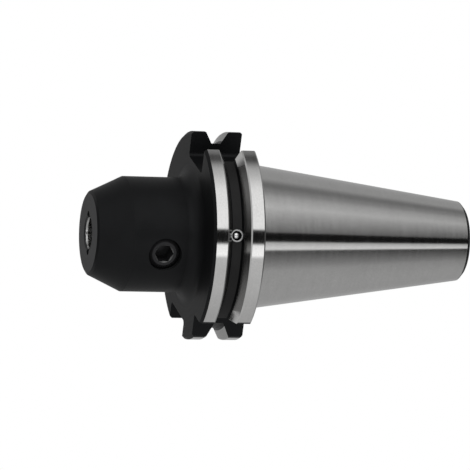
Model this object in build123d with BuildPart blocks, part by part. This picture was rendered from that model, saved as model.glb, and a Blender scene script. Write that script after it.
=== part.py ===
from build123d import *
import os
from math import cos, radians, sin, sqrt, tan

# Weldon end mill holder: a steep-taper (7/24, size 40) tool holder for a 10 mm side-lock shank.
# All lengths are millimetres. The origin is the centre of the gauge plane, +Z points to the
# spindle and the holder stands on its nose face. The clamping screw looks along -Y, the
# deeper drive slot along -X, the shallower one along +X.

os.makedirs("parts", exist_ok=True)

# Steep taper
gauge_d = 44.45
taper_rate = 7 / 24
taper_length = 68.4
taper_end_chamfer = 1.0
relief_width = 2.0
relief_depth = 0.5

# Flange with its gripper groove, the groove depth measured in from the rim
flange_d = 63.55
flange_back = 3.2
groove_centre = 11.1
flange_front = 19.1
groove_depth = 3.65
groove_mouth = 7.04
groove_flank_angle = 30
groove_edge = 0.25
rim_front_chamfer = 0.8
rim_back_chamfer = 0.5

# Drive slots and orientation notch, their depths measured in from the rim
slot_width = 16.1
slot_depth_deep = 8.975
slot_depth_shallow = 6.775
slot_corner_r = 1.2
slot_edge_break = 0.3
notch_depth = 5.612
notch_root_r = 0.8
cutter_overrun = 2.0

# Nose
projection = 50.0
nose_d = 35.0
face_d = 25.2
cone_length = 10.3
face_edge_chamfer = 0.6
nose_flange_fillet = 4.0

# Shank bore, coolant grooves beside it and the chamber behind the shank
shank_d = 10.0
shank_bore_length = 36.0
bore_mouth_chamfer = 0.5
chamber_d = 12.0
chamber_length = 8.0
coolant_groove_d = 2.8
coolant_groove_offset = 5.3
centre_bore_d = 7.0
drill_half_angle = 59

# Pull-stud hole in the small end; its thread is drawn plain at the major diameter
pilot_d = 17.0
pilot_depth = 8.2
pilot_chamfer = 1.0
stud_thread_d = 16.0
stud_thread_length = 24.0
stud_drill_d = 14.0
stud_drill_runout = 5.0

# Clamping screw, drawn plain at its major diameter
screw_from_face = 20.0
screw_d = 10.0
screw_length = 10.0
screw_recess = 1.3
screw_top_chamfer = 1.3
screw_point_d = 7.0
screw_point_length = 1.5
screw_socket = 5.0
screw_socket_depth = 5.0
screw_thread_gap = 0.05

# Cross bores from the gripper groove to the chamber, closed by expander plugs
plug_turn = 21.0
plug_d = 4.0
plug_length = 3.6
plug_sink = 0.3
plug_ball_d = 2.9
plug_ball_sink = 0.15
plug_fit = 0.01
plug_chamfer = 0.15
cross_bore_d = 3.0

# Slanted coolant inlets in the middle of the flange's back face, closed by set screws
inlet_slant = 38.0
inlet_d = 2.5
seal_screw_d = 4.0
seal_screw_length = 4.0
seal_screw_sink = 1.6
seal_screw_chamfer = 0.5
seal_screw_socket = 2.0
seal_screw_socket_depth = 2.0
seal_screw_gap = 0.02

# Heights and radii that follow from the sizes above
taper_r = gauge_d / 2
flange_r = flange_d / 2
groove_root_r = flange_r - groove_depth
nose_r = nose_d / 2
face_r = face_d / 2
shank_r = shank_d / 2
chamber_r = chamber_d / 2
centre_r = centre_bore_d / 2
screw_r = screw_d / 2
plug_r = plug_d / 2
ball_r = plug_ball_d / 2
seal_screw_r = seal_screw_d / 2

nose_z = -projection
front_z = -flange_front
groove_z = -groove_centre
back_z = -flange_back
screw_z = nose_z + screw_from_face
shank_end_z = nose_z + shank_bore_length


def taper_radius(z):
    """Radius of the steep taper at this height."""
    return taper_r - taper_rate / 2 * z


def drill_point(wide, narrow):
    """Axial length of a drill point between two radii."""
    return (wide - narrow) / tan(radians(drill_half_angle))


def radial_plane(angle, z):
    """Plane on the axis at this height, facing out at an angle from -Y towards -X."""
    return Plane(
        origin=(0, 0, z),
        x_dir=(0, 0, 1),
        z_dir=(-sin(radians(angle)), -cos(radians(angle)), 0),
    )


def circle_edge(part, radius, z):
    """The turned edges of this radius at this height."""
    return part.edges().filter_by(
        lambda edge: edge.geom_type == GeomType.CIRCLE
        and abs(edge.radius - radius) < 0.01
        and abs(edge.arc_center.Z - z) < 0.01
    )


# Gripper groove section, from the rim down its flanks to the flat root
groove_half_mouth = groove_mouth / 2
groove_half_root = groove_half_mouth - groove_depth * tan(radians(groove_flank_angle))
groove_break = groove_edge * tan(radians(groove_flank_angle))

# Outline of the turned blank
relief_top_z = back_z + relief_width
relief_r = taper_radius(relief_top_z) - relief_depth
outline = [
    (0, nose_z),
    (face_r, nose_z),
    (nose_r, nose_z + cone_length),
    (nose_r, front_z),
    (flange_r - rim_front_chamfer, front_z),
    (flange_r, front_z + rim_front_chamfer),
    (flange_r, groove_z - groove_half_mouth - groove_edge),
    (flange_r - groove_edge, groove_z - groove_half_mouth + groove_break),
    (groove_root_r, groove_z - groove_half_root),
    (groove_root_r, groove_z + groove_half_root),
    (flange_r - groove_edge, groove_z + groove_half_mouth - groove_break),
    (flange_r, groove_z + groove_half_mouth + groove_edge),
    (flange_r, back_z - rim_back_chamfer),
    (flange_r - rim_back_chamfer, back_z),
    (relief_r, back_z),
    (relief_r, relief_top_z - relief_depth),
    (relief_r + relief_depth, relief_top_z),
    (taper_radius(taper_length - taper_end_chamfer), taper_length - taper_end_chamfer),
    (taper_radius(taper_length) - taper_end_chamfer, taper_length),
    (0, taper_length),
]

# Section of everything bored along the axis, from the nose to the small end
chamber_end_z = shank_end_z + chamber_length
pilot_z = taper_length - pilot_depth
thread_end_z = pilot_z - stud_thread_length
drill_end_z = thread_end_z - stud_drill_runout
pilot_r = pilot_d / 2
thread_r = stud_thread_d / 2
drill_r = stud_drill_d / 2
bore_section = [
    (0, nose_z),
    (shank_r + bore_mouth_chamfer, nose_z),
    (shank_r, nose_z + bore_mouth_chamfer),
    (shank_r, shank_end_z),
    (chamber_r, shank_end_z + chamber_r - shank_r),
    (chamber_r, chamber_end_z),
    (centre_r, chamber_end_z + drill_point(chamber_r, centre_r)),
    (centre_r, drill_end_z - drill_point(drill_r, centre_r)),
    (drill_r, drill_end_z),
    (drill_r, thread_end_z - (thread_r - drill_r)),
    (thread_r, thread_end_z),
    (thread_r, pilot_z - (pilot_r - thread_r)),
    (pilot_r, pilot_z),
    (pilot_r, taper_length - pilot_chamfer),
    (pilot_r + pilot_chamfer, taper_length),
    (0, taper_length),
]

# Cutter paths across the flange
cut_length = flange_front - flange_back + 2 * cutter_overrun
slot_half = slot_width / 2
slot_floor_deep = flange_r - slot_depth_deep
slot_floor_shallow = flange_r - slot_depth_shallow
slot_mouth_x = sqrt(flange_r**2 - slot_half**2) - slot_edge_break
slot_flare = flange_r + cutter_overrun - slot_mouth_x
notch_offset = (flange_r - notch_depth) / sqrt(2)
notch_mouth = sqrt(flange_r**2 - notch_offset**2) - slot_edge_break
notch_flare = slot_edge_break + cutter_overrun
notch_reach = flange_r + cutter_overrun

# Cross bores and inlets, measured out from the axis
plug_top_r = groove_root_r - plug_sink
plug_seat_r = plug_top_r - plug_length
inlet_r = (taper_r + flange_r) / 2
inlet_length = (groove_centre - flange_back) / cos(radians(inlet_slant))
seal_seat_depth = seal_screw_sink + seal_screw_length


def inlet_plane(angle):
    """Plane at the mouth of a slanted inlet, facing out along the inlet's axis."""
    slant = radians(inlet_slant)
    out = Vector(-sin(radians(angle)), -cos(radians(angle)), 0)
    mouth = out * inlet_r + Vector(0, 0, back_z)
    return Plane(origin=mouth, z_dir=out * sin(slant) + Vector(0, 0, cos(slant)))


plug_angles = {"screw_side": plug_turn, "far_side": plug_turn + 180}

with BuildPart() as holder_body:
    with BuildSketch(Plane.XZ):
        with BuildLine():
            Polyline(*outline, close=True)
        make_face()
    revolve(axis=Axis.Z)
    fillet(circle_edge(holder_body, nose_r, front_z), radius=nose_flange_fillet)
    chamfer(circle_edge(holder_body, face_r, nose_z), length=face_edge_chamfer)

    # Everything bored along the axis in one section
    with BuildSketch(Plane.XZ):
        with BuildLine():
            Polyline(*bore_section, close=True)
        make_face()
    revolve(axis=Axis.Z, mode=Mode.SUBTRACT)

    # Coolant grooves beside the shank, square to the cross bores and open to the shank bore
    with BuildSketch(Plane.XY.offset(nose_z)):
        with PolarLocations(coolant_groove_offset, 2, start_angle=-plug_turn):
            Circle(coolant_groove_d / 2)
    extrude(amount=shank_bore_length + chamber_r - shank_r, mode=Mode.SUBTRACT)

    # Drive slots, each a flat floor with rounded corners and a broken edge at the rim
    for direction, floor_x in ((1, slot_floor_shallow), (-1, slot_floor_deep)):
        with BuildSketch(Plane.XY.offset(front_z - cutter_overrun)):
            with BuildLine():
                Polyline(
                    (direction * floor_x, -slot_half),
                    (direction * slot_mouth_x, -slot_half),
                    (direction * (slot_mouth_x + slot_flare), -slot_half - slot_flare),
                    (direction * (slot_mouth_x + slot_flare), slot_half + slot_flare),
                    (direction * slot_mouth_x, slot_half),
                    (direction * floor_x, slot_half),
                    close=True,
                )
            slot_face = make_face()
            floor_corners = slot_face.vertices().sort_by_distance((0, 0, front_z))[:2]
            fillet(floor_corners, radius=slot_corner_r)
        extrude(amount=cut_length, mode=Mode.SUBTRACT)

    # Orientation notch, a right angle whose flanks lie along X and Y
    with BuildSketch(Plane.XY.offset(front_z - cutter_overrun)):
        with BuildLine():
            Polyline(
                (notch_offset, -notch_offset),
                (notch_mouth, -notch_offset),
                (notch_mouth + notch_flare, -notch_offset + notch_flare),
                (notch_reach, -notch_offset + notch_flare),
                (notch_reach, -notch_reach),
                (notch_offset - notch_flare, -notch_reach),
                (notch_offset - notch_flare, -notch_mouth - notch_flare),
                (notch_offset, -notch_mouth),
                close=True,
            )
        notch_face = make_face()
        notch_root = notch_face.vertices().sort_by_distance((0, 0, front_z))[:1]
        fillet(notch_root, radius=notch_root_r)
    extrude(amount=cut_length, mode=Mode.SUBTRACT)

    # Tapped hole for the clamping screw
    with BuildSketch(radial_plane(0, screw_z)):
        Circle(screw_r + screw_thread_gap)
    extrude(amount=nose_r + cutter_overrun, mode=Mode.SUBTRACT)

    # Cross bores with their plug seats, and the slanted inlets that feed them
    for angle in plug_angles.values():
        with BuildSketch(radial_plane(angle, groove_z)):
            Circle(cross_bore_d / 2)
        extrude(amount=plug_seat_r, mode=Mode.SUBTRACT)
        with BuildSketch(radial_plane(angle, groove_z).offset(plug_seat_r)):
            Circle(plug_r + plug_fit)
        extrude(amount=flange_r - plug_seat_r, mode=Mode.SUBTRACT)
        with BuildSketch(inlet_plane(angle).offset(cutter_overrun)):
            Circle(inlet_d / 2)
        extrude(amount=-cutter_overrun - inlet_length, mode=Mode.SUBTRACT)
        with BuildSketch(inlet_plane(angle).offset(cutter_overrun)):
            Circle(seal_screw_r + seal_screw_gap)
        extrude(amount=-cutter_overrun - seal_seat_depth, mode=Mode.SUBTRACT)
holder_body.part.label = "holder_body"
export_step(holder_body.part, "parts/holder_body.step")

# Clamping screw: hexagon socket at the top, chamfered flat point that bears on the shank
screw_top_y = nose_r - screw_recess
with BuildPart() as clamping_screw:
    with BuildSketch(radial_plane(0, screw_z).offset(screw_top_y)):
        Circle(screw_r)
    extrude(amount=-screw_length)
    chamfer(clamping_screw.faces().sort_by(Axis.Y)[0].edges(), length=screw_top_chamfer)
    chamfer(
        clamping_screw.faces().sort_by(Axis.Y)[-1].edges(),
        length=screw_point_length,
        length2=screw_r - screw_point_d / 2,
    )
    with BuildSketch(radial_plane(0, screw_z).offset(screw_top_y)):
        RegularPolygon(screw_socket / 2, 6, major_radius=False)
    extrude(amount=-screw_socket_depth, mode=Mode.SUBTRACT)
clamping_screw.part.label = "clamping_screw"
export_step(clamping_screw.part, "parts/clamping_screw.step")

for side, angle in plug_angles.items():
    # Expander plug sleeve: a blind cup on whose floor the ball rests
    ball_centre_r = plug_top_r - plug_ball_sink - ball_r
    with BuildPart() as plug_sleeve:
        with BuildSketch(radial_plane(angle, groove_z).offset(plug_seat_r)):
            Circle(plug_r)
        extrude(amount=plug_length)
        sleeve_rims = plug_sleeve.edges().filter_by(GeomType.CIRCLE)
        chamfer(sleeve_rims, length=plug_chamfer)
        with BuildSketch(radial_plane(angle, groove_z).offset(plug_top_r)):
            Circle(ball_r + plug_fit)
        extrude(amount=-plug_ball_sink - plug_ball_d, mode=Mode.SUBTRACT)
    plug_sleeve.part.label = f"groove_plug_sleeve_{side}"
    export_step(plug_sleeve.part, f"parts/groove_plug_sleeve_{side}.step")

    # Ball that spreads the sleeve
    with BuildPart() as plug_ball:
        with Locations(radial_plane(angle, groove_z).offset(ball_centre_r)):
            Sphere(ball_r)
    plug_ball.part.label = f"groove_plug_ball_{side}"
    export_step(plug_ball.part, f"parts/groove_plug_ball_{side}.step")

    # Set screw that closes the slanted inlet
    with BuildPart() as seal_screw:
        with BuildSketch(inlet_plane(angle).offset(-seal_screw_sink)):
            Circle(seal_screw_r)
        extrude(amount=-seal_screw_length)
        chamfer(seal_screw.edges().filter_by(GeomType.CIRCLE), length=seal_screw_chamfer)
        with BuildSketch(inlet_plane(angle).offset(-seal_screw_sink)):
            RegularPolygon(seal_screw_socket / 2, 6, major_radius=False)
        extrude(amount=-seal_screw_socket_depth, mode=Mode.SUBTRACT)
    seal_screw.part.label = f"inlet_screw_{side}"
    export_step(seal_screw.part, f"parts/inlet_screw_{side}.step")
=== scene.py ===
import math
from typing import NamedTuple

import bpy
from bpy.props import FloatProperty, FloatVectorProperty, IntProperty, PointerProperty
from mathutils import Matrix, Vector


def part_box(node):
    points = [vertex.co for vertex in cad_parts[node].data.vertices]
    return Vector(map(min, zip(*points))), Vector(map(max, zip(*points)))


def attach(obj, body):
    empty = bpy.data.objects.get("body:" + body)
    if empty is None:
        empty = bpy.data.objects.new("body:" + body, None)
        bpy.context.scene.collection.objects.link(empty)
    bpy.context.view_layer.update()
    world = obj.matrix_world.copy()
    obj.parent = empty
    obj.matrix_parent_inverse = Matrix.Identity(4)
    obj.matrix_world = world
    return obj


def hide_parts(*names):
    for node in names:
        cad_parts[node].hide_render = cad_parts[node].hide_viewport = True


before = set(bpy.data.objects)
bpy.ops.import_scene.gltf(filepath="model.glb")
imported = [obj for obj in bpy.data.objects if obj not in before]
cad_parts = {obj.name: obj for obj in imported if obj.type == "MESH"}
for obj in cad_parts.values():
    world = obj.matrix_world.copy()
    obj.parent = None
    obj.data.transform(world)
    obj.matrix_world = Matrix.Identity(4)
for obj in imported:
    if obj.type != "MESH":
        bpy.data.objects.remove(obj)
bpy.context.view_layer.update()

bl_info = {
    "name": "Weldon end mill holder",
    "version": (1, 0, 0),
    "blender": (4, 5, 0),
    "location": "3D View > Sidebar > Tool holder",
    "description": "Finishes, threads and studio for a steep-taper side-lock tool holder",
    "category": "Object",
}

BODY_LOW, BODY_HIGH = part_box("holder_body")
SCREW_LOW, SCREW_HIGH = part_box("clamping_screw")
SCREW_AXIS_Z = (SCREW_LOW.z + SCREW_HIGH.z) / 2
SCREW_RADIUS = SCREW_HIGH.x
FLANGE_RADIUS = BODY_HIGH.y
NOSE_Z = BODY_LOW.z
SMALL_END_Z = BODY_HIGH.z
MM = 0.001

# How a face is sorted by the share of its normal that lies along a direction: from FACING on it
# looks that way, up to ALONGSIDE it runs along it, and up to SQUARE it is a cone or a bevel
ALONGSIDE = 0.3
FACING = 0.9
SQUARE = 0.95
# How far a flat facet's middle may lie off the round surface that it belongs to
NEAR = 0.05 * MM
# Less than the taper's radius at its small end, and more than that of any bore inside it
INSIDE_TAPER = 11.25 * MM

# Metric threads: slope of a flank, then flat crests and the inner thread's depth, in pitches
FLANK_SLOPE = math.tan(math.radians(30))
INNER_CREST = 0.25
OUTER_CREST = 0.125
INNER_DEPTH = 0.541
# How deep a thread's ridge is sunk into the wall that carries it
STUD_RIDGE_SINK = 0.02 * MM
SCREW_RIDGE_SINK = 0.1 * MM
# How far the screw's ridge stands proud before it is trimmed to the screw's outline
SCREW_RIDGE_PROUD = 0.06 * MM
# Depth of the relief that stands for the thread in the tapped hole
TAPPED_RELIEF = 1.2 * MM

# Vertices closer than this are one: along the CAD's seams, and where the screw was cut
SEAM_GAP = 1e-6
CUT_GAP = 3e-6

# Places of a Mix node's two values and of its result, for each type of data
MIX_SOCKETS = {"FLOAT": (2, 3, 0), "RGBA": (6, 7, 2)}


class Surface(NamedTuple):
    """How a treated steel surface varies from place to place."""

    line_spacing: float  # from one of the tool's lines to the next
    line_wander: float  # how much the lines change on their way round
    cloud_scale: float  # soft clouds, in waves to the metre
    grain_scale: float  # fine grain, in waves to the metre
    tones: tuple  # darkest and lightest share of the colour
    roughness_steps: tuple  # what the lines take from the roughness and add to it
    relief: float  # depth of the lines and the grain


BLACKENED = Surface(
    line_spacing=0.22 * MM, line_wander=1.5, cloud_scale=110, grain_scale=5200,
    tones=(0.72, 1.34), roughness_steps=(-0.06, 0.08), relief=0.004 * MM,
)
GROUND = Surface(
    line_spacing=0.7 * MM, line_wander=2.5, cloud_scale=160, grain_scale=3000,
    tones=(0.74, 1.26), roughness_steps=(-0.03, 0.06), relief=0.0009 * MM,
)
# Shares of the clouds with the lines, and of the grain, in the tone of ground steel, and the
# share of the grain in its relief
GROUND_BROAD = 0.25
GROUND_FINE = 0.5
GROUND_GRAIN_RELIEF = 0.15

# Panels of the light tent, in order round the holder: where each begins and ends, in degrees from
# the camera, then its brightness at those two edges near the horizon, higher up and at its top
PANELS = {
    "rear wall, left": (-180, -112, (0.45, 0.70), (0.45, 0.66), (0.45, 0.50)),
    "side flag": (-99, -92, (0.14, 0.16), (0.37, 0.36), (0.42, 0.36)),
    "side wall": (-80, -72, (0.95, 1.18), (0.54, 0.82), (0.27, 0.36)),
    "soft box": (-52, -7.8, (1.95, 2.30), (1.20, 0.29), (0.50, 0.07)),
    "camera flag": (-6.9, 8, (0.01, 0.01), (0.01, 0.01), (0.01, 0.01)),
    "strip light": (9.2, 21.8, (2.30, 2.50), (1.12, 1.75), (0.45, 1.45)),
    "fill wall": (23.4, 60, (1.30, 1.05), (0.10, 0.76), (0.02, 0.20)),
    "rear wall, right": (110, 180, (0.80, 0.45), (0.70, 0.42), (0.55, 0.42)),
}
# Where one row of the panels' brightness gives way to the next, in degrees above the horizon
ROW_STEPS = ((17, 27), (32, 38))
# Where the walls give way to the white sheet below and, behind the holder, to the dark bottom, in
# degrees below the horizon, and to the dark poles, in degrees above or below it
SHEET_STEP = (20, 30)
BOTTOM_STEP = (40, 46)
POLE_STEP = (57, 66)
# Where the front of the tent gives way to its back, in degrees from the camera
BACK_STEP = (100, 120)
# How far the floor lies below the nose, so that the two share no plane
FLOOR_GAP = 0.05 * MM


class BodySettings(bpy.types.PropertyGroup):
    """Finishes of the holder body, the painted light at the mouth of its bore, and where the
    ground faces begin and end.
    """

    oxide_colour: FloatVectorProperty(
        name="Black oxide", description="Colour of the blackened faces",
        subtype="COLOR", size=3, min=0, max=1, default=(0.0078, 0.0081, 0.0086),
    )
    oxide_roughness: FloatProperty(
        name="Oxide roughness", description="Roughness of the blackened faces",
        subtype="FACTOR", min=0, max=1, default=0.42,
    )
    steel_colour: FloatVectorProperty(
        name="Ground steel", description="Colour of the ground faces",
        subtype="COLOR", size=3, min=0, max=1, default=(0.370, 0.368, 0.364),
    )
    steel_roughness: FloatProperty(
        name="Steel roughness", description="Roughness of the ground faces",
        subtype="FACTOR", min=0, max=1, default=0.13,
    )
    taper_start: FloatProperty(
        name="Taper start", description="Height at which the ground taper begins",
        unit="LENGTH", default=-1.2 * MM,
    )
    taper_end: FloatProperty(
        name="Taper end", description="Height at which the ground taper ends",
        unit="LENGTH", default=SMALL_END_Z - 1.2 * MM,
    )
    groove_height: FloatProperty(
        name="Groove height", description="Height of the middle of the gripper groove",
        unit="LENGTH", default=-11.1 * MM,
    )
    groove_reach: FloatProperty(
        name="Groove reach", description="Half the width of the groove with its broken edges",
        unit="LENGTH", default=3.9 * MM,
    )
    groove_root: FloatProperty(
        name="Groove root", description="Radius of the groove's flat root",
        unit="LENGTH", default=28.125 * MM,
    )
    groove_root_colour: FloatVectorProperty(
        name="Root colour", description="Colour of the groove's flat root",
        subtype="COLOR", size=3, min=0, max=1, default=(0.0145, 0.0145, 0.0145),
    )
    groove_ground: FloatProperty(
        name="Ground flanks", description="Radius from which the groove's flanks are ground",
        unit="LENGTH", default=28.9 * MM,
    )
    rim_break: FloatProperty(
        name="Rim edge", description="Width of the bare broken edge behind the rear rim",
        unit="LENGTH", default=0.65 * MM,
    )
    faced_colour: FloatVectorProperty(
        name="Faced nose", description="Colour of the nose's end face",
        subtype="COLOR", size=3, min=0, max=1, default=(0.028, 0.028, 0.029),
    )
    bore_colour: FloatVectorProperty(
        name="Honed bore", description="Colour of the shank bore",
        subtype="COLOR", size=3, min=0, max=1, default=(0.45, 0.45, 0.44),
    )
    bore_roughness: FloatProperty(
        name="Bore roughness", description="Roughness of the shank bore",
        subtype="FACTOR", min=0, max=1, default=0.12,
    )
    bore_radius: FloatProperty(
        name="Bore radius", description="Radius of the honed shank bore",
        unit="LENGTH", default=5.0 * MM,
    )
    bore_end: FloatProperty(
        name="Bore end", description="Height at which the honed shank bore ends",
        unit="LENGTH", default=-14.0 * MM,
    )
    bore_chamfer: FloatProperty(
        name="Bore chamfer", description="Chamfer at the mouth of the shank bore",
        unit="LENGTH", default=0.5 * MM,
    )
    # Painted light: near the bore's mouth the wall is coloured near white for the light that falls
    # into the bore; this colour fades to the bore's own colour with depth.
    painted_mouth_light: FloatVectorProperty(
        name="Bore mouth", description="Colour of the bore's lead-in, which shanks keep bare",
        subtype="COLOR", size=3, min=0, max=1, default=(0.86, 0.86, 0.85),
    )
    mouth_roughness: FloatProperty(
        name="Mouth roughness", description="Roughness of the bore's lead-in",
        subtype="FACTOR", min=0, max=1, default=0.33,
    )
    painted_light_depth: FloatProperty(
        name="Mouth depth", description="Depth below the end face to which the lead-in shines",
        unit="LENGTH", default=0.95 * MM,
    )
    painted_light_fade: FloatProperty(
        name="Mouth fade", description="Distance over which the lead-in gives way to the bore",
        unit="LENGTH", default=0.3 * MM,
    )


class StudThreadSettings(bpy.types.PropertyGroup):
    """Thread of the pull-stud hole."""

    major_radius: FloatProperty(
        name="Major radius", description="Radius of the hole wall, at the thread's root",
        unit="LENGTH", default=8.0 * MM,
    )
    pitch: FloatProperty(
        name="Pitch", description="Distance from one turn to the next",
        unit="LENGTH", default=2.0 * MM,
    )
    start: FloatProperty(
        name="Start", description="Height of the lowest turn",
        unit="LENGTH", default=37.6 * MM,
    )
    turns: IntProperty(
        name="Turns", description="Number of whole turns", min=1, default=10,
    )
    segments: IntProperty(
        name="Segments", description="Segments in one turn", min=12, default=72,
    )


class ScrewSettings(bpy.types.PropertyGroup):
    """Clamping screw with its thread and hexagon socket."""

    pitch: FloatProperty(
        name="Pitch", description="Distance from one turn to the next",
        unit="LENGTH", default=1.5 * MM,
    )
    thread_depth: FloatProperty(
        name="Thread depth", description="Depth from the crest to the root",
        unit="LENGTH", default=0.92 * MM,
    )
    top_chamfer: FloatProperty(
        name="Top chamfer", description="Chamfer at the socket end",
        unit="LENGTH", default=1.3 * MM,
    )
    point_radius: FloatProperty(
        name="Point radius", description="Radius of the flat point",
        unit="LENGTH", default=3.5 * MM,
    )
    point_length: FloatProperty(
        name="Point length", description="Length of the cone behind the flat point",
        unit="LENGTH", default=1.5 * MM,
    )
    socket_width: FloatProperty(
        name="Socket width", description="Width across the flats of the hexagon",
        unit="LENGTH", default=5.0 * MM,
    )
    socket_depth: FloatProperty(
        name="Socket depth", description="Depth of the hexagon",
        unit="LENGTH", default=5.0 * MM,
    )
    socket_countersink: FloatProperty(
        name="Socket countersink", description="Depth of the cone at the socket's mouth",
        unit="LENGTH", default=0.42 * MM,
    )
    segments: IntProperty(
        name="Segments", description="Segments in one turn", min=12, default=64,
    )
    colour: FloatVectorProperty(
        name="Screw colour", description="Colour of the blackened screws",
        subtype="COLOR", size=3, min=0, max=1, default=(0.020, 0.020, 0.021),
    )
    roughness: FloatProperty(
        name="Screw roughness", description="Roughness of the blackened screws",
        subtype="FACTOR", min=0, max=1, default=0.24,
    )
    worn_colour: FloatVectorProperty(
        name="Worn mouth", description="Colour of the socket's mouth, where the key has rubbed it",
        subtype="COLOR", size=3, min=0, max=1, default=(0.075, 0.075, 0.075),
    )


class PlugSettings(bpy.types.PropertyGroup):
    """Expander plugs in the gripper groove."""

    sleeve_colour: FloatVectorProperty(
        name="Sleeve colour", description="Colour of the plug sleeves",
        subtype="COLOR", size=3, min=0, max=1, default=(0.016, 0.016, 0.017),
    )
    sleeve_roughness: FloatProperty(
        name="Sleeve roughness", description="Roughness of the plug sleeves",
        subtype="FACTOR", min=0, max=1, default=0.35,
    )
    rim_colour: FloatVectorProperty(
        name="Rim colour", description="Colour of the bare rim of the sleeves",
        subtype="COLOR", size=3, min=0, max=1, default=(0.40, 0.40, 0.40),
    )
    rim_roughness: FloatProperty(
        name="Rim roughness", description="Roughness of the bare rim of the sleeves",
        subtype="FACTOR", min=0, max=1, default=0.55,
    )
    rim_inner: FloatProperty(
        name="Bare rim", description="Radius at which the bare rim of a sleeve begins",
        unit="LENGTH", default=1.48 * MM,
    )
    ball_colour: FloatVectorProperty(
        name="Ball colour", description="Colour of the polished balls",
        subtype="COLOR", size=3, min=0, max=1, default=(0.46, 0.46, 0.46),
    )
    ball_roughness: FloatProperty(
        name="Ball roughness", description="Roughness of the polished balls",
        subtype="FACTOR", min=0, max=1, default=0.17,
    )


class StudioSettings(bpy.types.PropertyGroup):
    """Camera, light tent and floor."""

    azimuth: FloatProperty(
        name="Azimuth", description="Direction of the camera, turned from -Y towards +X",
        subtype="ANGLE", default=math.radians(-20.70),
    )
    elevation: FloatProperty(
        name="Elevation", description="Height of the camera above the horizon",
        subtype="ANGLE", default=math.radians(-15.83),
    )
    roll: FloatProperty(
        name="Roll", description="Turn of the camera about its own axis",
        subtype="ANGLE", default=math.radians(91.26),
    )
    distance: FloatProperty(
        name="Distance", description="Distance from the camera to the point it looks at",
        unit="LENGTH", default=1.0406,
    )
    aim: FloatVectorProperty(
        name="Aim", description="Point that the camera looks at",
        subtype="XYZ", unit="LENGTH", size=3, default=(0.00003, 0.00106, -0.00356),
    )
    focal_length: FloatProperty(
        name="Focal length", description="Focal length of the lens in millimetres",
        unit="CAMERA", min=10, default=260.434,
    )
    tent_ends: FloatProperty(
        name="Tent ends", description="Brightness of the tent's dark poles and bottom",
        min=0, default=0.19,
    )
    floor_light: FloatProperty(
        name="Floor light", description="Brightness of the white sheet that lies below",
        min=0, default=0.98,
    )
    floor_radius: FloatProperty(
        name="Floor radius", description="Radius of the floor disc",
        unit="LENGTH", default=1.5,
    )
    floor_colour: FloatVectorProperty(
        name="Floor colour", description="Colour of the floor",
        subtype="COLOR", size=3, min=0, max=1, default=(0.86, 0.86, 0.86),
    )
    floor_glow: FloatProperty(
        name="Floor glow", description="What the camera sees on the floor beyond the tent's light",
        min=0, default=0.48,
    )


def deselect_all():
    """Leaves nothing selected, so that an operator acts only on what is added next."""
    if bpy.context.object and bpy.context.object.mode != "OBJECT":
        bpy.ops.object.mode_set(mode="OBJECT")
    bpy.ops.object.select_all(action="DESELECT")


def select_only(piece):
    """Selects one object and makes it the active one."""
    deselect_all()
    piece.select_set(True)
    bpy.context.view_layer.objects.active = piece


def edit_all(piece):
    """Opens one object in edit mode, with all of its mesh selected."""
    select_only(piece)
    bpy.ops.object.mode_set(mode="EDIT")
    bpy.ops.mesh.select_all(action="SELECT")


def edit_end(piece, end):
    """Opens one object in edit mode, with only its top (1) or its bottom (-1) selected."""
    edit_all(piece)
    bpy.ops.mesh.select_all(action="DESELECT")
    bpy.ops.object.mode_set(mode="OBJECT")
    for face in piece.data.polygons:
        face.select = face.normal.z * end > FACING
    bpy.ops.object.mode_set(mode="EDIT")
    bpy.ops.mesh.select_mode(type="FACE")


def apply_modifier(piece, kind, **settings):
    """Adds a modifier with these settings and applies it."""
    select_only(piece)
    modifier = piece.modifiers.new(kind.title(), kind)
    for name, value in settings.items():
        setattr(modifier, name, value)
    bpy.ops.object.modifier_apply(modifier=modifier.name)


def combine(piece, other, operation):
    """Joins, cuts or trims a piece with another closed one, which is then deleted."""
    apply_modifier(
        piece, "BOOLEAN", object=other, operation=operation, solver="EXACT", use_self=True
    )
    bpy.data.objects.remove(other)


def settle(piece):
    """Moves a piece's place, turn and scale into its mesh."""
    select_only(piece)
    bpy.ops.object.transform_apply(location=True, rotation=True, scale=True)


def smooth(piece, sharp_from):
    """Smooth shading that keeps the edges that are at least this sharp."""
    select_only(piece)
    bpy.ops.object.shade_smooth_by_angle(angle=sharp_from)


def free_copy(source, name):
    """A copy of a CAD node, with its own mesh and none of the node's marks."""
    piece = source.copy()
    piece.data = source.data.copy()
    piece.name = piece.data.name = name
    for key in list(piece.keys()):
        del piece[key]
    piece.parent = None
    bpy.context.collection.objects.link(piece)
    return piece


def feed(tree, node, inputs):
    """Feeds a node's inputs, by their names or places, with other sockets or plain values."""
    for key, value in inputs.items():
        if isinstance(value, bpy.types.NodeSocket):
            tree.links.new(value, node.inputs[key])
        else:
            node.inputs[key].default_value = value


def add_node(tree, kind, inputs=(), **settings):
    """Adds a node with these settings and feeds its inputs."""
    node = tree.nodes.new(kind)
    for name, value in settings.items():
        setattr(node, name, value)
    feed(tree, node, dict(inputs))
    return node


def add_math(tree, operation, *operands):
    """A Math node whose operands are sockets or plain numbers; returns its output."""
    node = add_node(tree, "ShaderNodeMath", enumerate(operands), operation=operation)
    return node.outputs[0]


def add_vector_math(tree, operation, *operands):
    """A Vector Math node whose operands are sockets or plain vectors; returns its output."""
    node = add_node(tree, "ShaderNodeVectorMath", enumerate(operands), operation=operation)
    return node.outputs["Value" if operation == "LENGTH" else "Vector"]


def add_mix(tree, share, first, second, kind="RGBA"):
    """Mixes two colours or two values, each a socket or plain, by a share; returns its output."""
    low, high, result = MIX_SOCKETS[kind]
    node = add_node(tree, "ShaderNodeMix", {0: share, low: first, high: second}, data_type=kind)
    return node.outputs[result]


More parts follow.
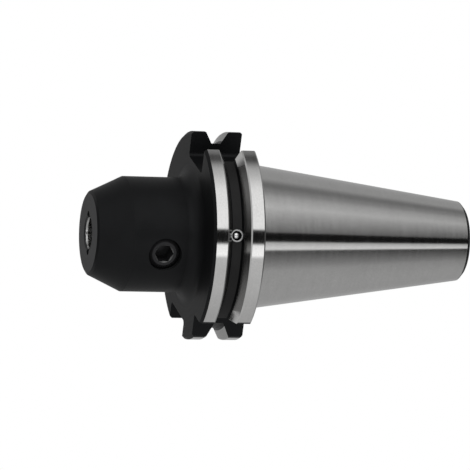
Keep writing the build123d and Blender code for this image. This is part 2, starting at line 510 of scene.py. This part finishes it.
def add_bump(tree, height, distance):
    """A bump from a height between 0 and 1; the distance is its depth."""
    node = add_node(
        tree, "ShaderNodeBump", {"Strength": 1.0, "Distance": distance, "Height": height}
    )
    return node.outputs[0]


def split_vector(tree, vector):
    """The three parts of a vector."""
    return add_node(tree, "ShaderNodeSeparateXYZ", {0: vector}).outputs


def stretch(tree, value, low, high):
    """A value between 0 and 1 stretched to a new range."""
    ends = {"Value": value, "To Min": low, "To Max": high}
    return add_node(tree, "ShaderNodeMapRange", ends).outputs[0]


def fade(tree, value, begin, end):
    """A smooth step from 0 where a value is at its begin to 1 at its end."""
    ends = {"Value": value, "From Min": begin, "From Max": end}
    return add_node(tree, "ShaderNodeMapRange", ends, interpolation_type="SMOOTHSTEP").outputs[0]


def shade(colour, share=1.0):
    """A colour with its alpha, made darker or lighter by a share."""
    return (*(part * share for part in colour), 1)


def grey(level):
    """A grey with its alpha."""
    return (level, level, level, 1)


def object_coordinates(tree):
    """Object coordinates, from the one node of a tree that gives them."""
    node = tree.nodes.get("Texture Coordinate") or tree.nodes.new("ShaderNodeTexCoord")
    return node.outputs["Object"]


def new_group(name, inputs, outputs):
    """A node group with its interface sockets, and its input and output nodes."""
    tree = bpy.data.node_groups.new(name, "ShaderNodeTree")
    for label, kind in inputs:
        tree.interface.new_socket(label, in_out="INPUT", socket_type=kind)
    for label in outputs:
        tree.interface.new_socket(label, in_out="OUTPUT", socket_type="NodeSocketFloat")
    return tree, tree.nodes.new("NodeGroupInput"), tree.nodes.new("NodeGroupOutput")


def turning_lines_group(name):
    """Fine lines that run round the Z axis, as turning and grinding leave them."""
    tree, source, result = new_group(
        name,
        (
            ("Vector", "NodeSocketVector"),
            ("Spacing", "NodeSocketFloat"),
            ("Wander", "NodeSocketFloat"),
        ),
        ("Lines",),
    )
    x, y, z = split_vector(tree, source.outputs["Vector"])
    square = add_math(
        tree, "ADD", add_math(tree, "MULTIPLY", x, x), add_math(tree, "MULTIPLY", y, y)
    )
    radius = add_math(tree, "SQRT", square)
    parts = [add_math(tree, "DIVIDE", add_math(tree, "ADD", z, radius), source.outputs["Spacing"])]
    for part in (x, y):
        round_axis = add_math(tree, "DIVIDE", part, radius)
        parts.append(add_math(tree, "MULTIPLY", round_axis, source.outputs["Wander"]))
    place = add_node(tree, "ShaderNodeCombineXYZ", enumerate(parts))
    noise = add_node(
        tree, "ShaderNodeTexNoise", {"Vector": place.outputs[0], "Scale": 1.0, "Detail": 4.0}
    )
    feed(tree, result, {"Lines": noise.outputs["Fac"]})
    return tree


def mottle_group(name):
    """Soft clouds and a fine grain, for the uneven tone of a treated surface."""
    tree, source, result = new_group(
        name,
        (
            ("Vector", "NodeSocketVector"),
            ("Cloud scale", "NodeSocketFloat"),
            ("Grain scale", "NodeSocketFloat"),
        ),
        ("Clouds", "Grain"),
    )
    for scale, output, detail in (("Cloud scale", "Clouds", 3.0), ("Grain scale", "Grain", 1.0)):
        noise = add_node(tree, "ShaderNodeTexNoise", {
            "Vector": source.outputs["Vector"],
            "Scale": source.outputs[scale],
            "Detail": detail,
        })
        feed(tree, result, {output: noise.outputs["Fac"]})
    return tree


SHARED_GROUPS = {"Turning lines": turning_lines_group, "Mottle": mottle_group}


def place_group(tree, name, inputs):
    """Places a shared node group, built at its first use, and feeds it Object coordinates."""
    group = bpy.data.node_groups.get(name) or SHARED_GROUPS[name](name)
    inputs = {"Vector": object_coordinates(tree), **inputs}
    return add_node(tree, "ShaderNodeGroup", inputs, node_tree=group)


def surface_pattern(tree, surface):
    """Lines, clouds and grain of a treated surface, each between 0 and 1."""
    lines = place_group(tree, "Turning lines", {
        "Spacing": surface.line_spacing, "Wander": surface.line_wander,
    })
    mottle = place_group(tree, "Mottle", {
        "Cloud scale": surface.cloud_scale, "Grain scale": surface.grain_scale,
    })
    return lines.outputs["Lines"], mottle.outputs["Clouds"], mottle.outputs["Grain"]


def new_material(name):
    """A new material, its node tree and its Principled shader."""
    material = bpy.data.materials.new(name)
    material.use_nodes = True
    tree = material.node_tree
    return material, tree, tree.nodes["Principled BSDF"]


def tone(tree, value, colour, surface):
    """A surface's colour, from its darkest to its lightest tone by a value between 0 and 1."""
    darkest, lightest = surface.tones
    return add_mix(tree, value, shade(colour, darkest), shade(colour, lightest))


def vary_roughness(tree, lines, roughness, surface):
    """A surface's roughness, which its lines make a little smoother or rougher."""
    smoother, rougher = surface.roughness_steps
    return stretch(tree, lines, roughness + smoother, roughness + rougher)


def blend_finish(material, mask, **values):
    """Changes inputs of a material's shader to other values where a mask is 1."""
    tree = material.node_tree
    shader = tree.nodes["Principled BSDF"]
    for name, value in values.items():
        socket = shader.inputs[name.replace("_", " ").title()]
        before = socket.links[0].from_socket if socket.links else socket.default_value
        if socket.type == "RGBA":
            mixed = add_mix(tree, mask, before, shade(value))
        else:
            mixed = add_mix(tree, mask, before, value, "FLOAT")
        tree.links.new(mixed, socket)


def black_oxide(name, colour, roughness):
    """Blackened steel: near black, faintly mottled, with the cutter's lines in it."""
    material, tree, shader = new_material(name)
    lines, clouds, grain = surface_pattern(tree, BLACKENED)
    relief = add_math(tree, "ADD", lines, grain)
    feed(tree, shader, {
        "Base Color": tone(tree, clouds, colour, BLACKENED),
        "Metallic": 0.4,
        "Roughness": vary_roughness(tree, lines, roughness, BLACKENED),
        "Normal": add_bump(tree, relief, BLACKENED.relief),
        "Specular IOR Level": 0.14,
        "Specular Tint": grey(0.45),
    })
    return material


def ground_steel(name, colour, roughness, anisotropy=0.9):
    """Ground steel: bright, with lines round the axis, which blur its highlights along it."""
    material, tree, shader = new_material(name)
    lines, clouds, grain = surface_pattern(tree, GROUND)
    broad = add_math(tree, "MULTIPLY", add_math(tree, "ADD", clouds, lines), GROUND_BROAD)
    fine = add_math(tree, "MULTIPLY", grain, GROUND_FINE)
    relief = add_math(tree, "ADD", lines, add_math(tree, "MULTIPLY", grain, GROUND_GRAIN_RELIEF))
    tangent = add_node(tree, "ShaderNodeTangent", direction_type="RADIAL", axis="Z")
    feed(tree, shader, {
        "Base Color": tone(tree, add_math(tree, "ADD", broad, fine), colour, GROUND),
        "Metallic": 1.0,
        "Roughness": vary_roughness(tree, lines, roughness, GROUND),
        "Normal": add_bump(tree, relief, GROUND.relief),
        "Anisotropic": anisotropy,
        "Anisotropic Rotation": 0.25,
        "Tangent": tangent.outputs[0],
    })
    return material


def still_blackened(material, mask, body):
    """Leaves a ground material blackened where a mask is 1."""
    blend_finish(
        material, mask, base_color=body.oxide_colour, roughness=body.oxide_roughness
    )


def ground_taper(name, body):
    """Ground taper, still blackened in a thin band at its small end."""
    material = ground_steel(name, body.steel_colour, body.steel_roughness)
    tree = material.node_tree
    height = split_vector(tree, object_coordinates(tree))[2]
    still_blackened(material, add_math(tree, "GREATER_THAN", height, body.taper_end), body)
    return material


def groove_flank(name, body):
    """Ground flank of the gripper groove, still blackened near its root."""
    material = ground_steel(name, body.steel_colour, body.steel_roughness)
    tree = material.node_tree
    tree.nodes["Principled BSDF"].inputs["Specular Tint"].default_value = grey(0.8)
    level = add_vector_math(tree, "MULTIPLY", object_coordinates(tree), (1, 1, 0))
    radius = add_vector_math(tree, "LENGTH", level)
    still_blackened(material, add_math(tree, "LESS_THAN", radius, body.groove_ground), body)
    return material


def honed_bore(name, body):
    """Honed bore: a smooth wall, rougher near its mouth, where a near-white colour is painted
    light that falls into the bore and fades with depth.
    """
    material = ground_steel(name, body.bore_colour, body.bore_roughness, anisotropy=1.0)
    tree = material.node_tree
    height = split_vector(tree, object_coordinates(tree))[2]
    depth = add_math(tree, "SUBTRACT", height, NOSE_Z)
    # Painted light: share of the near-white colour, 1 up to a small depth below the end face and 0
    # deeper in the bore.
    painted_light_share = fade(tree, depth, body.painted_light_depth + body.painted_light_fade, body.painted_light_depth)
    blend_finish(
        material, painted_light_share, base_color=body.painted_mouth_light, roughness=body.mouth_roughness
    )
    return material


def tapped_wall(name, body, pitch):
    """Blackened wall of the tapped hole, with the turns of its thread as relief."""
    material = black_oxide(name, body.oxide_colour, body.oxide_roughness)
    tree = material.node_tree
    x, y, z = split_vector(tree, object_coordinates(tree))
    angle = add_math(tree, "ARCTAN2", add_math(tree, "SUBTRACT", z, SCREW_AXIS_Z), x)
    turn = add_math(tree, "DIVIDE", angle, 2 * math.pi)
    phase = add_math(tree, "ADD", add_math(tree, "DIVIDE", y, pitch), turn)
    turns = add_math(tree, "PINGPONG", phase, 0.5)
    feed(tree, tree.nodes["Principled BSDF"], {"Normal": add_bump(tree, turns, TAPPED_RELIEF)})
    return material


def rimmed_sleeve(name, plug, centre):
    """Blackened sleeve whose outer rim is bare, by the distance from the plug's own axis."""
    material = black_oxide(name, plug.sleeve_colour, plug.sleeve_roughness)
    tree = material.node_tree
    axis = Vector((centre.x, centre.y, 0)).normalized()
    place = add_vector_math(tree, "SUBTRACT", object_coordinates(tree), centre)
    distance = add_vector_math(tree, "LENGTH", add_vector_math(tree, "CROSS_PRODUCT", place, axis))
    blend_finish(
        material, add_math(tree, "GREATER_THAN", distance, plug.rim_inner),
        base_color=plug.rim_colour, metallic=1.0, roughness=plug.rim_roughness,
    )
    return material


def close_seams(piece):
    """Merges the doubled vertices along a mesh's edges and keeps the normals of its corners."""
    normals = [corner.vector.copy() for corner in piece.data.corner_normals]
    edit_all(piece)
    bpy.ops.mesh.remove_doubles(threshold=SEAM_GAP)
    bpy.ops.object.mode_set(mode="OBJECT")
    if len(normals) != len(piece.data.loops):
        raise RuntimeError("closing the seams lost faces")
    piece.data.normals_split_custom_set(normals)


def face_finish(centre, normal, body):
    """Which finish a face of the body has, from where it lies and which way it looks."""
    radius = math.hypot(centre.x, centre.y)
    outward = (normal.x * centre.x + normal.y * centre.y) / max(radius, 1e-9)
    slanted = ALONGSIDE < abs(normal.z) < SQUARE
    in_groove = abs(centre.z - body.groove_height) < body.groove_reach
    on_taper = body.taper_start < centre.z < body.taper_end and radius > INSIDE_TAPER
    on_rear_rim = centre.z > body.groove_height and radius > FLANGE_RADIUS - body.rim_break
    from_screw = math.hypot(centre.x, centre.z - SCREW_AXIS_Z)
    in_screw_hole = from_screw < SCREW_RADIUS + 2 * NEAR and centre.y < -body.bore_radius
    if radius > FLANGE_RADIUS - NEAR and outward > FACING:
        return "ground"
    if on_taper and outward > FACING:
        return "taper"
    if in_groove and radius > body.groove_root + NEAR and slanted:
        return "flank"
    if on_rear_rim and slanted and outward > ALONGSIDE:
        return "ground"
    if in_groove and abs(radius - body.groove_root) < 2 * NEAR and outward > FACING:
        return "root"
    if centre.z < NOSE_Z + NEAR:
        return "faced"
    if centre.z < body.bore_end and radius < body.bore_radius + NEAR and outward < -FACING:
        return "bore"
    if centre.z < NOSE_Z + body.bore_chamfer and radius < body.bore_radius + body.bore_chamfer:
        return "faced"
    if in_screw_hole and abs(normal.y) < ALONGSIDE:
        return "tapped"
    return "oxide"


class TOOLHOLDER_OT_dress_body(bpy.types.Operator):
    """Dress the holder body: ground taper, rims and groove flanks on a blackened body"""

    bl_idname = "toolholder.dress_body"
    bl_label = "Dress body"

    def execute(self, context):
        body = context.scene.holder_body
        piece = free_copy(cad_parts["holder_body"], "body_shell")
        close_seams(piece)
        finishes = {
            "oxide": black_oxide("black_oxide", body.oxide_colour, body.oxide_roughness),
            "ground": ground_steel("ground_steel", body.steel_colour, body.steel_roughness),
            "taper": ground_taper("ground_taper", body),
            "flank": groove_flank("groove_flank", body),
            "root": black_oxide("groove_floor", body.groove_root_colour, body.oxide_roughness),
            "faced": black_oxide("faced_nose", body.faced_colour, body.oxide_roughness),
            "bore": honed_bore("honed_bore", body),
            "tapped": tapped_wall("tapped_wall", body, context.scene.holder_screw.pitch),
        }
        piece.data.materials.clear()
        for material in finishes.values():
            piece.data.materials.append(material)
        order = list(finishes)
        for face in piece.data.polygons:
            face.material_index = order.index(face_finish(face.center, face.normal, body))
        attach(piece, "holder")
        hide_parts("holder_body")
        return {"FINISHED"}


def thread_ridge(name, root, crest, root_width, crest_width, pitch, turns, segments):
    """A closed helical ridge about Z whose section is a trapezoid from root to crest."""
    middle = (root + crest) / 2
    deselect_all()
    bpy.ops.mesh.primitive_plane_add(
        size=1, location=(middle, 0, 0), rotation=(math.pi / 2, 0, 0)
    )
    ridge = bpy.context.object
    ridge.name = ridge.data.name = name
    settle(ridge)
    for vertex in ridge.data.vertices:
        at_root = (vertex.co.x > middle) == (root > crest)
        vertex.co.x, width = (root, root_width) if at_root else (crest, crest_width)
        vertex.co.z = math.copysign(width / 2, vertex.co.z)
    apply_modifier(
        ridge, "SCREW", axis="Z", screw_offset=pitch, iterations=turns,
        steps=segments, render_steps=segments, use_merge_vertices=False,
    )
    edit_all(ridge)
    bpy.ops.mesh.select_mode(type="EDGE")
    bpy.ops.mesh.select_all(action="DESELECT")
    bpy.ops.mesh.select_non_manifold(extend=False)
    bpy.ops.mesh.edge_face_add()
    bpy.ops.mesh.select_all(action="SELECT")
    bpy.ops.mesh.normals_make_consistent(inside=False)
    bpy.ops.object.mode_set(mode="OBJECT")
    return ridge


class TOOLHOLDER_OT_cut_stud_thread(bpy.types.Operator):
    """Cut the thread of the pull-stud hole, as a ridge on the hole's wall"""

    bl_idname = "toolholder.cut_stud_thread"
    bl_label = "Cut stud thread"

    def execute(self, context):
        thread = context.scene.holder_stud_thread
        body = context.scene.holder_body
        depth = thread.pitch * INNER_DEPTH
        crest_width = thread.pitch * INNER_CREST
        ridge = thread_ridge(
            "stud_thread",
            root=thread.major_radius + STUD_RIDGE_SINK, crest=thread.major_radius - depth,
            root_width=crest_width + 2 * depth * FLANK_SLOPE, crest_width=crest_width,
            pitch=thread.pitch, turns=thread.turns, segments=thread.segments,
        )
        ridge.location.z = thread.start
        settle(ridge)
        ridge.data.materials.append(
            black_oxide("stud_thread_oxide", body.oxide_colour, body.oxide_roughness)
        )
        smooth(ridge, sharp_from=math.radians(30))
        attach(ridge, "holder")
        return {"FINISHED"}


def threaded_rod(screw, length):
    """A rod about Z with the screw's thread, longer at both ends than the screw."""
    spare_turns = 2
    turns = math.ceil(length / screw.pitch) + spare_turns
    root = SCREW_RADIUS - screw.thread_depth
    height = screw.thread_depth + SCREW_RIDGE_SINK + SCREW_RIDGE_PROUD
    crest_width = screw.pitch * OUTER_CREST
    ridge = thread_ridge(
        "screw_thread",
        root=root - SCREW_RIDGE_SINK, crest=SCREW_RADIUS + SCREW_RIDGE_PROUD,
        root_width=crest_width + 2 * height * FLANK_SLOPE, crest_width=crest_width,
        pitch=screw.pitch, turns=turns, segments=screw.segments,
    )
    ridge.location.z = -turns * screw.pitch / 2
    settle(ridge)
    bpy.ops.mesh.primitive_cylinder_add(
        vertices=screw.segments, radius=root, depth=length + 2 * spare_turns * screw.pitch
    )
    rod = bpy.context.object
    rod.name = rod.data.name = "clamp_screw_threaded"
    combine(rod, ridge, "UNION")
    return rod


def screw_outline(screw, radius, length):
    """The screw's outline: a cylinder with a chamfered top and a cone behind its flat point."""
    deselect_all()
    bpy.ops.mesh.primitive_cylinder_add(vertices=2 * screw.segments, radius=radius, depth=length)
    outline = bpy.context.object
    for end, inner, rise in (
        (1, radius - screw.top_chamfer, screw.top_chamfer),
        (-1, screw.point_radius, screw.point_length),
    ):
        edit_end(outline, end)
        bpy.ops.transform.translate(value=(0, 0, -end * rise))
        bpy.ops.mesh.extrude_region_move(TRANSFORM_OT_translate={"value": (0, 0, end * rise)})
        share = inner / radius
        bpy.ops.transform.resize(value=(share, share, 1), center_override=(0, 0, 0))
    bpy.ops.object.mode_set(mode="OBJECT")
    return outline


def socket_cutter(screw, top):
    """What cuts the socket: a hexagon with a shallow cone where it meets the screw's top."""
    corner = screw.socket_width / math.sqrt(3)
    clearance = 1 * MM
    height = screw.socket_depth + clearance
    deselect_all()
    bpy.ops.mesh.primitive_cylinder_add(
        vertices=6, radius=corner, depth=height, location=(0, 0, top + clearance - height / 2)
    )
    hexagon = bpy.context.object
    settle(hexagon)
    deselect_all()
    bpy.ops.mesh.primitive_cone_add(
        vertices=screw.segments, radius1=corner - screw.socket_countersink,
        radius2=corner + screw.socket_countersink, depth=2 * screw.socket_countersink,
        location=(0, 0, top),
    )
    cone = bpy.context.object
    settle(cone)
    combine(hexagon, cone, "UNION")
    return hexagon


def wear_mouth(rod, screw):
    """Gives the cone at the socket's mouth its worn finish."""
    rod.data.materials.append(black_oxide("socket_mouth", screw.worn_colour, screw.roughness))
    corner = screw.socket_width / math.sqrt(3)
    for face in rod.data.polygons:
        from_axis = math.hypot(face.center.x, face.center.z - SCREW_AXIS_Z)
        depth = face.center.y - SCREW_LOW.y
        slanted = ALONGSIDE < abs(face.normal.y) < SQUARE
        if from_axis < corner and depth < screw.socket_countersink and slanted:
            face.material_index = 1


class TOOLHOLDER_OT_model_screw(bpy.types.Operator):
    """Model the clamping screw: threaded, chamfered, with a countersunk hexagon socket"""

    bl_idname = "toolholder.model_screw"
    bl_label = "Model clamping screw"

    def execute(self, context):
        screw = context.scene.holder_screw
        length = SCREW_HIGH.y - SCREW_LOW.y
        rod = threaded_rod(screw, length)
        combine(rod, screw_outline(screw, SCREW_RADIUS, length), "INTERSECT")
        combine(rod, socket_cutter(screw, length / 2), "DIFFERENCE")
        edit_all(rod)
        bpy.ops.mesh.remove_doubles(threshold=CUT_GAP)
        bpy.ops.mesh.dissolve_degenerate(threshold=SEAM_GAP)
        bpy.ops.object.mode_set(mode="OBJECT")
        bpy.ops.transform.rotate(
            value=-math.pi / 2, orient_axis="X", center_override=(0, 0, 0)
        )
        rod.location = (0, (SCREW_LOW.y + SCREW_HIGH.y) / 2, SCREW_AXIS_Z)
        settle(rod)
        rod.data.materials.clear()
        rod.data.materials.append(black_oxide("screw_oxide", screw.colour, screw.roughness))
        wear_mouth(rod, screw)
        smooth(rod, sharp_from=math.radians(28))
        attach(rod, "clamp_screw")
        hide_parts("clamping_screw")
        return {"FINISHED"}


class TOOLHOLDER_OT_finish_small_parts(bpy.types.Operator):
    """Finish the expander plugs, their balls and the inlet screws"""

    bl_idname = "toolholder.finish_small_parts"
    bl_label = "Finish plugs and inlet screws"

    def execute(self, context):
        plug = context.scene.holder_plugs
        screw = context.scene.holder_screw
        ball = ground_steel("polished_ball", plug.ball_colour, plug.ball_roughness)
        oxide = black_oxide("inlet_screw_oxide", screw.colour, screw.roughness)
        for side in ("screw_side", "far_side"):
            low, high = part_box(f"groove_plug_ball_{side}")
            sleeve = rimmed_sleeve(f"plug_sleeve_{side}", plug, (low + high) / 2)
            for node, material in (
                (f"groove_plug_sleeve_{side}", sleeve),
                (f"groove_plug_ball_{side}", ball),
                (f"inlet_screw_{side}", oxide),
            ):
                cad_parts[node].material_slots[0].material = material
        return {"FINISHED"}


def wall_ramp(tree, position, row):
    """Brightness of the tent's panels by the place round it, in one of their rows."""
    ramp = add_node(tree, "ShaderNodeValToRGB", {0: position})
    stops = ramp.color_ramp.elements
    edges = []
    for begin, end, *rows in PANELS.values():
        edges += zip((begin, end), rows[row])
    while len(stops) < len(edges):
        stops.new(0.5)
    for stop, (angle, level) in zip(stops, edges):
        stop.position = 0.5 + angle / 360
        stop.color = grey(level)
    return ramp.outputs[0]


def fade_by_height(tree, height, step):
    """A fade between two angles, in degrees, from the sine of an angle above the horizon."""
    return fade(tree, height, *(math.sin(math.radians(angle)) for angle in step))


def tent_brightness(tree, settings):
    """Brightness of the tent by direction: its walls, the sheet below and its dark ends."""
    direction = add_node(tree, "ShaderNodeTexCoord").outputs["Generated"]
    x, y, z = split_vector(tree, direction)
    camera_angle = settings.azimuth - math.pi / 2
    turned = add_math(tree, "SUBTRACT", add_math(tree, "ARCTAN2", y, x), camera_angle)
    from_camera = add_math(tree, "WRAP", turned, math.pi, -math.pi)
    position = add_math(tree, "ADD", add_math(tree, "DIVIDE", from_camera, 2 * math.pi), 0.5)
    tent = wall_ramp(tree, position, 0)
    for row, step in enumerate(ROW_STEPS, 1):
        tent = add_mix(tree, fade_by_height(tree, z, step), tent, wall_ramp(tree, position, row))
    depth = add_math(tree, "MULTIPLY", z, -1)
    sheet = fade_by_height(tree, depth, SHEET_STEP)
    tent = add_mix(tree, sheet, tent, grey(settings.floor_light))
    back = fade(
        tree, add_math(tree, "ABSOLUTE", from_camera), *(math.radians(at) for at in BACK_STEP)
    )
    bottom = add_math(tree, "MULTIPLY", fade_by_height(tree, depth, BOTTOM_STEP), back)
    poles = fade_by_height(tree, add_math(tree, "ABSOLUTE", z), POLE_STEP)
    ends = add_math(tree, "MAXIMUM", poles, bottom)
    return add_mix(tree, ends, tent, grey(settings.tent_ends))


def build_tent(settings):
    """The world: a tent that lights the holder and shows in its gloss, white to the camera."""
    world = bpy.data.worlds.new("light_tent")
    bpy.context.scene.world = world
    world.use_nodes = True
    tree = world.node_tree
    tree.nodes.clear()
    tent = add_node(tree, "ShaderNodeBackground", {"Color": tent_brightness(tree, settings)})
    white = add_node(tree, "ShaderNodeBackground", {"Color": grey(1), "Strength": 1.0})
    path = add_node(tree, "ShaderNodeLightPath")
    mix = add_node(tree, "ShaderNodeMixShader", {
        0: path.outputs["Is Camera Ray"], 1: tent.outputs[0], 2: white.outputs[0],
    })
    add_node(tree, "ShaderNodeOutputWorld", {"Surface": mix.outputs[0]})


def build_floor(settings):
    """A pale floor under the nose, seen from above and clear to a camera below it."""
    deselect_all()
    bpy.ops.mesh.primitive_circle_add(
        vertices=96, radius=settings.floor_radius, fill_type="NGON",
        location=(0, 0, NOSE_Z - FLOOR_GAP),
    )
    floor = bpy.context.object
    floor.name = floor.data.name = "floor"
    settle(floor)
    material, tree, shader = new_material("pale_floor")
    feed(tree, shader, {
        "Base Color": shade(settings.floor_colour),
        "Roughness": 0.9,
        "Specular IOR Level": 0.1,
        "Emission Color": grey(1),
        "Emission Strength": settings.floor_glow,
    })
    side = add_node(tree, "ShaderNodeNewGeometry")
    clear = add_node(tree, "ShaderNodeBsdfTransparent")
    mix = add_node(tree, "ShaderNodeMixShader", {
        0: side.outputs["Backfacing"], 1: shader.outputs[0], 2: clear.outputs[0],
    })
    feed(tree, tree.nodes["Material Output"], {"Surface": mix.outputs[0]})
    floor.data.materials.append(material)
    floor.visible_shadow = False
    floor.visible_glossy = False
    floor.visible_diffuse = False


def place_camera(settings):
    """The camera: it looks at its aim point from one side, rolled so that the axis lies level."""
    data = bpy.data.cameras.new("camera")
    data.lens = settings.focal_length
    data.sensor_width = 36
    data.clip_start, data.clip_end = 0.01, 20
    camera = bpy.data.objects.new("camera", data)
    bpy.context.scene.collection.objects.link(camera)
    level = math.cos(settings.elevation)
    back = Vector((
        math.sin(settings.azimuth) * level,
        -math.cos(settings.azimuth) * level,
        math.sin(settings.elevation),
    ))
    place = Matrix.Translation(Vector(settings.aim) + back * settings.distance)
    turn = (-back).to_track_quat("-Z", "Y").to_matrix() @ Matrix.Rotation(settings.roll, 3, "Z")
    camera.matrix_world = place @ turn.to_4x4()
    bpy.context.scene.camera = camera


class TOOLHOLDER_OT_set_stage(bpy.types.Operator):
    """Set the stage: camera, light tent and floor"""

    bl_idname = "toolholder.set_stage"
    bl_label = "Set stage"

    def execute(self, context):
        settings = context.scene.holder_studio
        context.scene.view_settings.view_transform = "Standard"
        place_camera(settings)
        build_tent(settings)
        build_floor(settings)
        return {"FINISHED"}


# The groups of settings, and the steps in their order with the group that each step reads most
SETTINGS = {
    "holder_body": BodySettings,
    "holder_stud_thread": StudThreadSettings,
    "holder_screw": ScrewSettings,
    "holder_plugs": PlugSettings,
    "holder_studio": StudioSettings,
}
STEPS = (
    ("holder_studio", TOOLHOLDER_OT_set_stage),
    ("holder_body", TOOLHOLDER_OT_dress_body),
    ("holder_stud_thread", TOOLHOLDER_OT_cut_stud_thread),
    ("holder_screw", TOOLHOLDER_OT_model_screw),
    ("holder_plugs", TOOLHOLDER_OT_finish_small_parts),
)


class TOOLHOLDER_PT_panel(bpy.types.Panel):
    """Lists the steps that finish the tool holder, each with its settings."""

    bl_idname = "TOOLHOLDER_PT_panel"
    bl_label = "Tool holder"
    bl_space_type = "VIEW_3D"
    bl_region_type = "UI"
    bl_category = "Tool holder"

    def draw(self, context):
        for settings, operator in STEPS:
            box = self.layout.box()
            box.operator(operator.bl_idname)
            group = getattr(context.scene, settings)
            for name in group.__annotations__:
                box.prop(group, name)


CLASSES = (*SETTINGS.values(), *(operator for _, operator in STEPS), TOOLHOLDER_PT_panel)


def register():
    for cls in CLASSES:
        bpy.utils.register_class(cls)
    for name, cls in SETTINGS.items():
        setattr(bpy.types.Scene, name, PointerProperty(type=cls))


def unregister():
    for name in SETTINGS:
        delattr(bpy.types.Scene, name)
    for cls in reversed(CLASSES):
        bpy.utils.unregister_class(cls)


def main():
    register()
    bpy.ops.toolholder.set_stage()
    bpy.ops.toolholder.dress_body()
    bpy.ops.toolholder.cut_stud_thread()
    bpy.ops.toolholder.model_screw()
    bpy.ops.toolholder.finish_small_parts()


if __name__ == "__main__":
    main()
